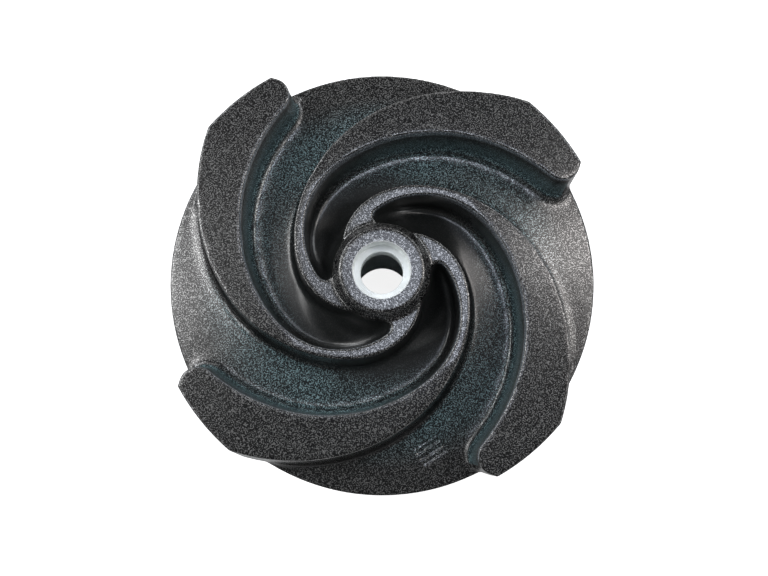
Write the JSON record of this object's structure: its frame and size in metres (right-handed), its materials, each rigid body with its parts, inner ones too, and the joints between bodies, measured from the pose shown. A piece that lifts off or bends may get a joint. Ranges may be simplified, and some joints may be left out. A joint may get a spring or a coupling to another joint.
{
  "type": "pump impeller",
  "caption": "Semi-open cast pump impeller with backward-curved vanes on a round disc, a stepped central bore and a long drafted hub behind.",
  "frame": {"origin": "on the shaft axis, at the machined rear end of the hub, which the impeller stands on", "axes": "+Z along the shaft axis towards the suction side; the vane tips point to about 49 degrees from +X and every quarter turn from there"},
  "size_m": [0.25, 0.25, 0.1139],
  "materials": {
    "casting": "sand-cast skin under dark semi-gloss paint, bare where it is machined"
  },
  "bodies": {
    "root": {"impeller": "casting"}
  },
  "joints": []
}
